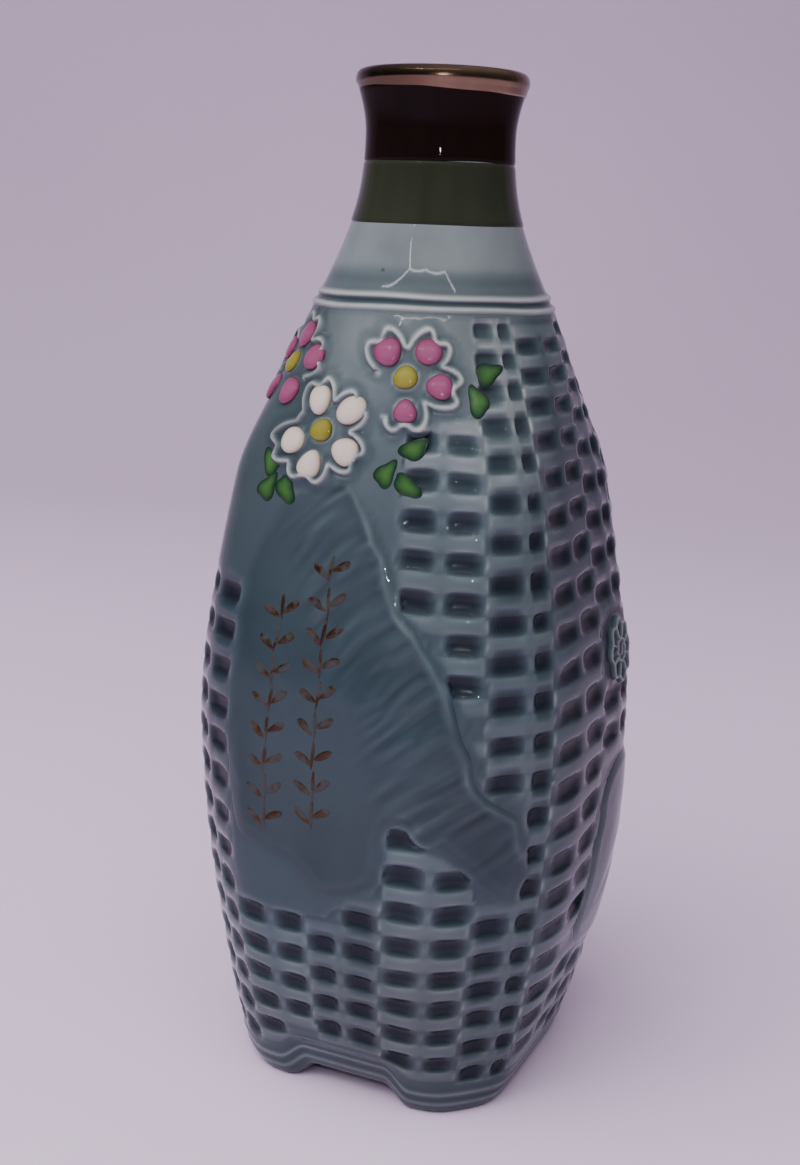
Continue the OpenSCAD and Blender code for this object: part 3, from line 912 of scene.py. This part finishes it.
def make_sprigged(name, node, angles, heights, inside_of, height_of):
    """A closed skin over the cells of a grid inside an edge, feathered down to it."""
    a, z = np.meshgrid(angles, heights)
    n, m = a.shape
    inside = inside_of(a, z)
    rise = height_of(a, z) - 0.35 * smooth((0.5 - inside) / 1.0)
    upper = on_bottle(a, z, rise).reshape(-1, 3)
    lower = on_bottle(a, z, -SPRIG_SUNK).reshape(-1, 3)
    shades = pool_and_shade(a, z).ravel()
    kept = inside > -0.4
    cell = kept[:-1, :-1] & kept[1:, :-1] & kept[:-1, 1:] & kept[1:, 1:]
    index = np.arange(n * m).reshape(n, m)
    corner = [index[:-1, :-1], index[:-1, 1:], index[1:, 1:], index[1:, :-1]]
    quads = np.stack([c[cell] for c in corner], -1)
    faces = quads.tolist() + (quads[:, ::-1] + n * m).tolist()
    # The skin's border is the edges that only one kept cell has.
    border = {}
    for q in quads.tolist():
        for edge in zip(q, q[1:] + q[:1]):
            if edge[::-1] in border:
                del border[edge[::-1]]
            else:
                border[edge] = True
    faces += [(j, i, i + n * m, j + n * m) for i, j in border]
    verts = np.concatenate([upper, lower])
    used = np.unique(np.concatenate([np.array(f) for f in faces]))
    renumber = np.full(len(verts), -1)
    renumber[used] = np.arange(len(used))
    faces = [tuple(renumber[list(f)]) for f in faces]
    values = np.concatenate([shades, shades])[used]
    obj = make_mesh(name, verts[used], faces, "celadon", {"pool_and_shade": values})
    piece(obj, node)


def make_sprigged_pieces():
    make_sprigged(
        "mountain_sprig", "mountain_relief", np.arange(-124, -33, 0.6),
        np.arange(37, 107.5, 0.38), mountain_inside, mountain,
    )
    make_sprigged(
        "side_sprig", "side_relief", np.arange(-8, 56, 0.7), np.arange(21, 60, 0.42),
        side_inside, side_swell,
    )


# ---- beads and outlines ----

BEAD_POINTS = 40
BEAD_RINGS = 12
# How far a petal, a blossom's centre and a leaf stand out.
PETAL_H = 0.95
CENTRE_H = 0.85
LEAF_H = 0.2


def dome(name, spot, outline, height, material, base=0.0, sunk=0.25, flat=2.4):
    """A raised bead on the bottle: outline(f, k) is its edge, drawn in by k."""
    f = np.arange(BEAD_POINTS) * 2 * math.pi / BEAD_POINTS
    steps = np.sin(np.linspace(math.pi / 2, 0.05, BEAD_RINGS))
    points, crown, thick = [], [], []
    for i, k in enumerate(np.concatenate([[1.0], steps])):
        a, z = near(spot, *outline(f, k))
        rise = height * (1 - k ** flat) ** (1 / flat)
        points.append(on_bottle(a, z, -sunk if i == 0 else rise + base))
        crown.append(np.full(BEAD_POINTS, max(0.0, rise / height)))
        thick.append(pool_and_shade(a, z))
    faces = capped_faces(len(points), BEAD_POINTS)
    values = {"crown": np.concatenate(crown), "pool_and_shade": np.concatenate(thick)}
    return make_mesh(name, np.concatenate(points), faces, material, values)


def egg(turn, length, width, taper, wobble=0.0, phase=0.0):
    """The edge of an egg-shaped bead, its broad end towards turn."""
    c, s = math.cos(math.radians(turn)), math.sin(math.radians(turn))

    def edge(f, k):
        x = np.cos(f)
        uneven = 1 + wobble * np.sin(3 * f + phase)
        along = k * length / 2 * x * uneven
        across = k * width / 2 * np.sin(f) * (1 + taper * x) * uneven
        return along * c - across * s, along * s + across * c

    return edge


def make_blossom(name):
    centre, petals = blossom_nodes(name)
    colour, sizes = BLOSSOMS[name][2], BLOSSOMS[name][4]
    yellow = dome(
        name + "_stamens", spot_of(centre), egg(20, 3.9, 3.7, 0, 0.03, len(petals)), CENTRE_H,
        "yellow", flat=2.2,
    )
    piece(yellow, centre)
    for i, (node, turn, size) in enumerate(zip(petals, petal_turns(name), sizes)):
        edge = egg(turn, *size, 0.13, 0.03, 1.7 * i)
        bead = dome(node + "_bead", spot_of(node), edge, PETAL_H, colour)
        piece(bead, node)


# Heights of an outline's ridge over its foot, of its foot, and of its underside.
OUTLINE_H = 0.74
OUTLINE_FOOT = -0.06
OUTLINE_SUNK = -0.4


def make_outline(name):
    """The raised, notched edge round a blossom, as a low rounded ridge."""
    spot = spot_of(blossom_nodes(name)[0])
    start, end = BLOSSOMS[name][3]
    u, v, f = outline_points(name)
    closed = end - start >= 360
    if closed:
        u, v, f = u[:-1], v[:-1], f[:-1]
        du = np.roll(u, -1) - np.roll(u, 1)
        dv = np.roll(v, -1) - np.roll(v, 1)
    else:
        du, dv = np.gradient(u), np.gradient(v)
    size = np.hypot(du, dv)
    across = np.linspace(-1.25, 1.25, 11)
    fade = 1.0 if closed else smooth(np.minimum(f - start, end - f) / 6)
    rows = [(w, OUTLINE_H * hump(w, 0.56) * fade + OUTLINE_FOOT) for w in across]
    rows += [(across[-1], OUTLINE_SUNK), (across[0], OUTLINE_SUNK)]
    places = [near(spot, u + w * dv / size, v - w * du / size) for w, _ in rows]
    verts = np.concatenate([on_bottle(*at, off) for at, (_, off) in zip(places, rows)])
    shades = np.concatenate([pool_and_shade(*at) for at in places])
    n, m = len(rows), len(u)
    faces = []
    for i in range(n):
        k = (i + 1) % n
        for j in range(m if closed else m - 1):
            q = (j + 1) % m
            faces.append((i * m + j, k * m + j, k * m + q, i * m + q))
    if not closed:
        faces.append(tuple(i * m for i in range(n))[::-1])
        faces.append(tuple(i * m + m - 1 for i in range(n)))
    obj = make_mesh(name + "_edge", verts, faces, "celadon", {"pool_and_shade": shades})
    piece(obj, BLOSSOMS[name][0] + "_outline")


# Directions in which the leaves point.
LEAF_TURNS = {
    "leaf_right_upper": 25, "leaf_right_lower": 100, "leaf_middle_1": 30, "leaf_middle_2": 60,
    "leaf_middle_3": 145, "leaf_left_1": 120, "leaf_left_2": 70, "leaf_left_3": 120,
}


def make_leaves():
    for i, node in enumerate(sorted(LEAF_TURNS)):
        edge = egg(LEAF_TURNS[node], 4.9, 3.1, -0.2, 0.16, 2.1 * i)
        bead = dome(node + "_bead", spot_of(node), edge, LEAF_H, "leaf", flat=1.5)
        piece(bead, node)


ROSETTE_R = 5.7
# The rosette's rings from its edge in, and its raised rim and heart, over its radius.
ROSETTE_RINGS = (
    1.04, 1.0, 0.96, 0.92, 0.88, 0.83, 0.78, 0.7, 0.6, 0.5, 0.42, 0.36, 0.3, 0.2, 0.05,
)
ROSETTE_RIM = 0.93
ROSETTE_HEART = 0.36


def make_rosette():
    """Eight hollow petals with raised edges round a button."""
    f = np.radians(np.arange(0, 360, 1.875))
    wide = ROSETTE_R + 0.5 * np.cos(8 * f)
    between = np.abs((np.degrees(f) + 22.5) % 45 - 22.5)
    divider = hump(22.5 - between, 3.2)
    points, shades = [], []
    for k in ROSETTE_RINGS:
        raised = max(hump(k - ROSETTE_RIM, 0.05), hump(k - ROSETTE_HEART, 0.06))
        petal = smooth((k - ROSETTE_HEART) / 0.1) * smooth((0.97 - k) / 0.1)
        rise = 0.2 + 0.6 * np.maximum(raised, divider * petal)
        if k > 1:
            rise = np.full(len(f), -0.3)
        a, z = near(ROSETTE, wide * k * np.cos(f), wide * k * np.sin(f))
        points.append(on_bottle(a, z, rise))
        shades.append(np.clip(0.6 - 0.8 * (rise - 0.2), 0.1, 0.6))
    flower = make_mesh(
        "rosette_petals", np.concatenate(points), capped_faces(len(points), len(f)),
        "celadon", {"pool_and_shade": np.concatenate(shades)},
    )
    piece(flower, "side_rosette")
    button = egg(0, 2.8, 2.8, 0)
    boss = dome("rosette_button", ROSETTE, button, 0.6, "celadon", base=0.15, sunk=0.0)
    piece(boss, "rosette_boss")


# Height of a pair of brushed leaflets, and points round each.
LEAFLET_STEP = 5
LEAFLET_POINTS = 20
# Rings of a brushed leaflet from its edge in: (part of its size, height).
LEAFLET_RINGS = ((1.0, -0.1), (1.0, 0.0), (0.85, 0.05), (0.5, 0.07), (0.1, 0.075))


def make_sprig(node, name):
    """A leafy sprig brushed in gold: a stem and pairs of narrow leaves, in one piece."""
    low, high = box_mm(node)
    angle = spot_of(node)[0]
    pairs = round((high[2] - low[2]) / LEAFLET_STEP)
    step = (high[2] - low[2]) / pairs
    strokes = []
    for i in range(pairs):
        at = low[2] + (i + 0.5) * step
        strokes.append((angle, at, 0.15 * math.sin(2 * i), 0, 88 + 6 * math.sin(3 * i),
                        step * 1.05, 0.6))
        for side in (-1, 1):
            lift = 0.5 * side + 0.25 * math.sin(5 * i)
            turn = 90 - side * (54 + 8 * math.sin(4 * i + side))
            strokes.append((angle, at, side * 1.7, lift, turn, 3.5, 1.3))
    verts, faces, crown = [], [], []
    f = np.arange(LEAFLET_POINTS) * 2 * math.pi / LEAFLET_POINTS
    for a0, z0, u0, v0, turn, length, width in strokes:
        edge = egg(turn, length, width, 0.3, 0.05, v0 + z0)
        faces += capped_faces(len(LEAFLET_RINGS), LEAFLET_POINTS, len(verts) * LEAFLET_POINTS)
        for k, off in LEAFLET_RINGS:
            u, v = edge(f, k)
            a, z = near((a0, z0), u + u0, v + v0)
            verts.append(on_bottle(a, z, mountain(a, z) + off))
            crown.append(np.full(LEAFLET_POINTS, k))
    crown = np.concatenate(crown)
    obj = make_mesh(name, np.concatenate(verts), faces, "gilt_brush", {"crown": crown})
    piece(obj, node)


# ---- neck ----

# Radius of the bore and of the mouth's edge, height of the bore's foot, and how far the glaze
# bands stand out.
BORE_R = 9.0
MOUTH_R = BORE_R + 1.6
BORE_LOW_Z = WAIST_Z - 4
GLAZE_T = 0.14


def side_points(heights, off):
    """(radius, height) points up the side, standing off it."""
    return list(zip(side_r(heights) + off, heights))


def make_neck():
    heights = np.concatenate([np.linspace(SEAM_Z, GREEN_Z, 60), np.linspace(146.5, GILT_Z, 24)])
    outside = side_points(heights, -0.1 * (heights >= GREEN_Z + 0.2))
    rim = [(float(side_r(LIP_Z)) - 0.15, LIP_Z), (13.2, RIM_Z - 0.25), (12.4, RIM_Z - 0.15),
           (11.4, RIM_Z - 0.3), (MOUTH_R - 0.3, RIM_Z - 1.0), (BORE_R + 0.5, RIM_Z - 2.2)]
    inner = [(BORE_R, RIM_Z - 4), (BORE_R, BORE_LOW_Z + 2), (BORE_R + 0.5, BORE_LOW_Z - 4),
             (11.4, 146), (14, 139), (SEAM_IN_R, SEAM_Z)]
    profile = outside + rim + inner
    shade = turned_pool([min(z, GREEN_Z) for _, z in profile])
    obj = lathe("neck_wall", profile, "thrown_celadon", {"pool_and_shade": shade})
    piece(obj, "neck")


def make_cord(name, at, node):
    across = np.linspace(-1.1, 1.1, 25)
    profile = side_points(at + across, CORD_H * hump(across, 0.5) - 0.05)
    profile += side_points(at + across[[-1, 0]], -0.5)
    shade = turned_pool([z for _, z in profile])

    def wave(angle, r, z):
        sway = 0.1 * np.sin(np.radians(angle * 3 + at * 40)) + 0.05 * np.sin(np.radians(angle * 7))
        return r, z + sway

    obj = lathe(name, profile, "celadon", {"pool_and_shade": shade}, wave=wave)
    piece(obj, node)


def make_band(name, low, high, material, node, seed):
    """A coloured glaze band with soft, slightly wandering edges."""
    heights = np.concatenate([
        low + np.array([0, 0.12, 0.3, 0.6]), np.linspace(low + 1, high - 1, 24),
        high - np.array([0.6, 0.3, 0.12, 0]),
    ])
    edge = np.minimum(heights - low, high - heights)
    rise = -GLAZE_T + 2 * GLAZE_T * np.sqrt(np.clip(edge / 0.6, 0, 1))
    profile = side_points(heights, rise) + side_points(heights[::-3], -0.3)
    middle = (low + high) / 2

    def wave(angle, r, z):
        a = np.radians(angle)
        drift = 0.12 * np.sin(2 * a + seed) + 0.07 * np.sin(5 * a + 2 * seed)
        nearness = np.where(z < middle, 1.0, 0.35)
        return r, z + drift * nearness * smooth(np.abs(z - middle) / (high - low) * 2)

    obj = lathe(name, profile, material, wave=wave)
    piece(obj, node)


# Painted shade: the gilding is darkened on the side away from this angle, as if it reflected less
# light there.
GILT_BRIGHT_AT = 10


def make_lip():
    """The gilded lip: over the rim and a little way down inside."""
    low = GILT_Z - 0.5
    heights = np.linspace(low, GILT_Z + 0.5, 8)
    outer = side_points(heights, 0.19 * np.minimum(1, (heights - low) / 0.2 + 0.3))
    top = [(13.98, LIP_Z - 0.85), (14.04, LIP_Z - 0.5), (14.02, LIP_Z - 0.1),
           (13.95, LIP_Z + 0.3), (13.8, RIM_Z - 0.6), (13.5, RIM_Z - 0.28), (13.0, RIM_Z - 0.06),
           (12.4, RIM_Z), (11.7, RIM_Z - 0.1), (11.1, RIM_Z - 0.4), (10.5, RIM_Z - 1.0),
           (9.75, RIM_Z - 2.0), (9.4, RIM_Z - 3.0)]
    under = [(9.9, RIM_Z - 3.0), (10.9, RIM_Z - 1.3), (12.2, RIM_Z - 0.6), (13.2, RIM_Z - 0.8),
             (13.3, LIP_Z), (12.7, low)]

    def wave(angle, r, z):
        a = np.radians(angle)
        drift = 0.08 * np.sin(3 * a + 1) + 0.05 * np.sin(8 * a) - 0.4 * np.cos(a - 0.2)
        return r, z + drift * (1 - smooth((z - low) / 1.6))

    profile = outer + top + under
    turned = np.arange(TURNED_POINTS) * 360 / TURNED_POINTS - GILT_BRIGHT_AT
    bright = 0.1 + 0.9 * smooth((np.cos(np.radians(turned)) + 0.35) / 1.2)
    obj = lathe("lip_gilt", profile, "gilt_lip",
                {"bright": np.tile(bright, (len(profile), 1))}, wave=wave)
    piece(obj, "lip_gilding")


# ---- the whole bottle ----

make_body()
make_sprigged_pieces()
make_rosette()
for blossom in BLOSSOMS:
    make_outline(blossom)
for blossom in BLOSSOMS:
    make_blossom(blossom)
make_leaves()
make_sprig("gilt_sprig_left", "gilt_sprig_brush_left")
make_sprig("gilt_sprig_right", "gilt_sprig_brush_right")
make_neck()
make_cord("cord_upper", CORD_HIGH_Z, "neck_cord_upper")
make_cord("cord_lower", CORD_LOW_Z, "neck_cord_lower")
make_band("green_band", GREEN_Z, BROWN_Z, "green", "green_glaze_band", 1.0)
make_band("brown_band", BROWN_Z - 0.15, GILT_Z + 0.3, "brown",
          "brown_glaze_band", 2.6)
make_lip()

# ---- floor, light and camera ----

# Of the sheet, in metres: radius of its bend, how far it lies flat behind the bottle and in
# front of it, its height above the bend and half its width.
BEND_R = 0.5
FLAT_BACK = 0.55
FLAT_FRONT = 2.5
SHEET_TOP = 1.4
SHEET_HALF = 2.2
BEND_STEPS = 24


def make_backdrop():
    """A pale sheet that lies flat under the bottle and curves up behind it."""
    line = [(-FLAT_FRONT, 0.0), (FLAT_BACK, 0.0)]
    for i in range(1, BEND_STEPS + 1):
        t = math.pi / 2 * i / BEND_STEPS
        line.append((FLAT_BACK + BEND_R * math.sin(t), BEND_R * (1 - math.cos(t))))
    line.append((FLAT_BACK + BEND_R, SHEET_TOP + BEND_R))
    turn = math.radians(CAMERA_AT)
    c, s = math.cos(turn), math.sin(turn)
    sides = (-SHEET_HALF, SHEET_HALF)
    verts = [(x * c - y * s, x * s + y * c, z) for x in sides for y, z in line]
    count = len(line)
    faces = [(i, count + i, count + i + 1, i + 1) for i in range(count - 1)]
    make_mesh("backdrop", verts, faces, "paper")


def look_matrix(azimuth, pitch, roll):
    """Camera axes for a heading round the axis, a downward pitch and a roll."""
    a, p, r = (math.radians(v) for v in (azimuth, pitch, roll))
    forward = np.array([-math.sin(a) * math.cos(p), math.cos(a) * math.cos(p), -math.sin(p)])
    right = np.array([math.cos(a), math.sin(a), 0.0])
    up = np.cross(right, forward)
    side = right * math.cos(r) + up * math.sin(r)
    upward = up * math.cos(r) - right * math.sin(r)
    return np.stack([side, upward, -forward], 1)


# The camera's angle round the axis in degrees, and its distance and height in metres.
CAMERA_AT = 23.3
CAMERA_FAR = 0.2608
CAMERA_HIGH = 0.1459
# How far it looks down and to the left of the axis, and leans, in degrees.
CAMERA_PITCH = 13.08
CAMERA_YAW = 0.86
CAMERA_ROLL = 2.15
# Focal length over the height of the picture.
FOCAL_OVER_HEIGHT = 1.3248
SENSOR = 36


def make_camera():
    data = bpy.data.cameras.new("camera")
    data.sensor_width = SENSOR
    data.lens = SENSOR * FOCAL_OVER_HEIGHT
    data.clip_start = 0.01
    camera = bpy.data.objects.new("camera", data)
    bpy.context.scene.collection.objects.link(camera)
    a = math.radians(CAMERA_AT)
    place = (CAMERA_FAR * math.sin(a), -CAMERA_FAR * math.cos(a), CAMERA_HIGH)
    turn = Matrix(look_matrix(CAMERA_AT + CAMERA_YAW, CAMERA_PITCH, CAMERA_ROLL).tolist())
    camera.matrix_world = Matrix.Translation(place) @ turn.to_4x4()
    bpy.context.scene.camera = camera


def facing(place, target):
    """Sideways, upward and forward directions of something that faces a target."""
    forward = np.array(target, float) - np.array(place, float)
    forward /= np.linalg.norm(forward)
    right = np.cross(forward, (0, 0, 1))
    right /= np.linalg.norm(right)
    return right, np.cross(right, forward), forward


def area_light(name, place, target, size, power, glossy=True, tilt=0.0):
    """A rectangular light at a place, facing a target; tilt turns it about its own axis."""
    data = bpy.data.lights.new(name, "AREA")
    data.shape = "RECTANGLE"
    data.size, data.size_y = size
    data.energy = power
    light = bpy.data.objects.new(name, data)
    bpy.context.scene.collection.objects.link(light)
    right, up, forward = facing(place, target)
    axes = Matrix(np.stack([right, up, -forward], 1).tolist())
    turn = Matrix.Rotation(math.radians(tilt), 4, "Z")
    light.matrix_world = Matrix.Translation(place) @ axes.to_4x4() @ turn
    light.visible_glossy = glossy


def round_the_bottle(angle, far, high):
    """A place seen from the bottle at an angle left or right of the camera."""
    a = math.radians(CAMERA_AT + angle)
    return far * math.sin(a), -far * math.cos(a), high


WINDOW_FAR = 1.5
# Corners of a window's bright frame: (turn from the camera, elevation), and its bars.
WINDOW_CORNERS = (
    (-36.2, 39.2), (-34.2, 44.2), (-66.6, 41.2), (-12.8, 45.9), (12.6, 46.1), (26.4, 48),
)
# From corner to corner, with the bar's thickness in metres.
WINDOW_BARS = ((0, 1, 0.035), (1, 2, 0.01), (1, 3, 0.01), (3, 4, 0.01), (4, 5, 0.012))
# Watts for each square metre of bar.
WINDOW_POWER = 85
# The foot of the neck, from which the corners are measured and which the bars face.
NECK_FOOT = np.array((0, 0, 0.14))


def sky_place(turn, elevation):
    """A place on the far dome, seen from the neck at a turn and an elevation."""
    up = math.radians(elevation)
    high = NECK_FOOT[2] + WINDOW_FAR * math.sin(up)
    return np.array(round_the_bottle(turn, WINDOW_FAR * math.cos(up), high))


def make_window():
    """Thin bright bars, such as daylight makes round a blind, that show in the glaze."""
    for i, (a, b, thick) in enumerate(WINDOW_BARS):
        start, end = sky_place(*WINDOW_CORNERS[a]), sky_place(*WINDOW_CORNERS[b])
        middle, bar = (start + end) / 2, end - start
        right, up, _ = facing(middle, NECK_FOOT)
        tilt = math.degrees(math.atan2(bar @ up, bar @ right))
        length = float(np.linalg.norm(bar))
        power = WINDOW_POWER * length * thick
        area_light("bar_%d" % i, middle, NECK_FOOT, (length, thick), power, tilt=tilt)


def make_room():
    """Surroundings that are dim at eye level and paler towards the ceiling."""
    world = bpy.data.worlds.new("room")
    world.use_nodes = True
    tree = world.node_tree
    back = tree.nodes["Background"]
    coords = tree.nodes.new("ShaderNodeTexCoord")
    height = tree.nodes.new("ShaderNodeSeparateXYZ")
    ramp = tree.nodes.new("ShaderNodeValToRGB")
    set_ramp(ramp, [(0.25, (0.07, 0.07, 0.075)), (0.95, (0.5, 0.5, 0.52))])
    tree.links.new(coords.outputs["Generated"], height.inputs[0])
    tree.links.new(height.outputs["Z"], ramp.inputs["Fac"])
    tree.links.new(ramp.outputs["Color"], back.inputs["Color"])
    back.inputs["Strength"].default_value = 1.0
    bpy.context.scene.world = world


# Each light's place, as its turn from the camera, distance and height, then its target, its
# width, its power in watts and whether the glaze shows it.
FRONT = round_the_bottle(-15, 0.22, 0)
LIGHTS = {
    "overhead": ((-36, 0.5, 0.75), FRONT, 1.0, 10.5, False),
    "left": ((-70, 0.8, 0.6), (0, 0, 0), 0.6, 1, False),
    "right": ((72, 0.6, 0.45), FRONT, 0.6, 0.4, False),
    "lamp": ((0, 0.3, 0.196), (0, 0, 0.12), 0.005, 0.1, True),
}


def make_lights():
    """Broad soft light from overhead and the left, a window, and a lamp by the camera."""
    for name, (place, target, width, power, glossy) in LIGHTS.items():
        area_light(name, round_the_bottle(*place), target, (width, width), power, glossy)
    make_window()
    make_room()


make_backdrop()
make_camera()
make_lights()
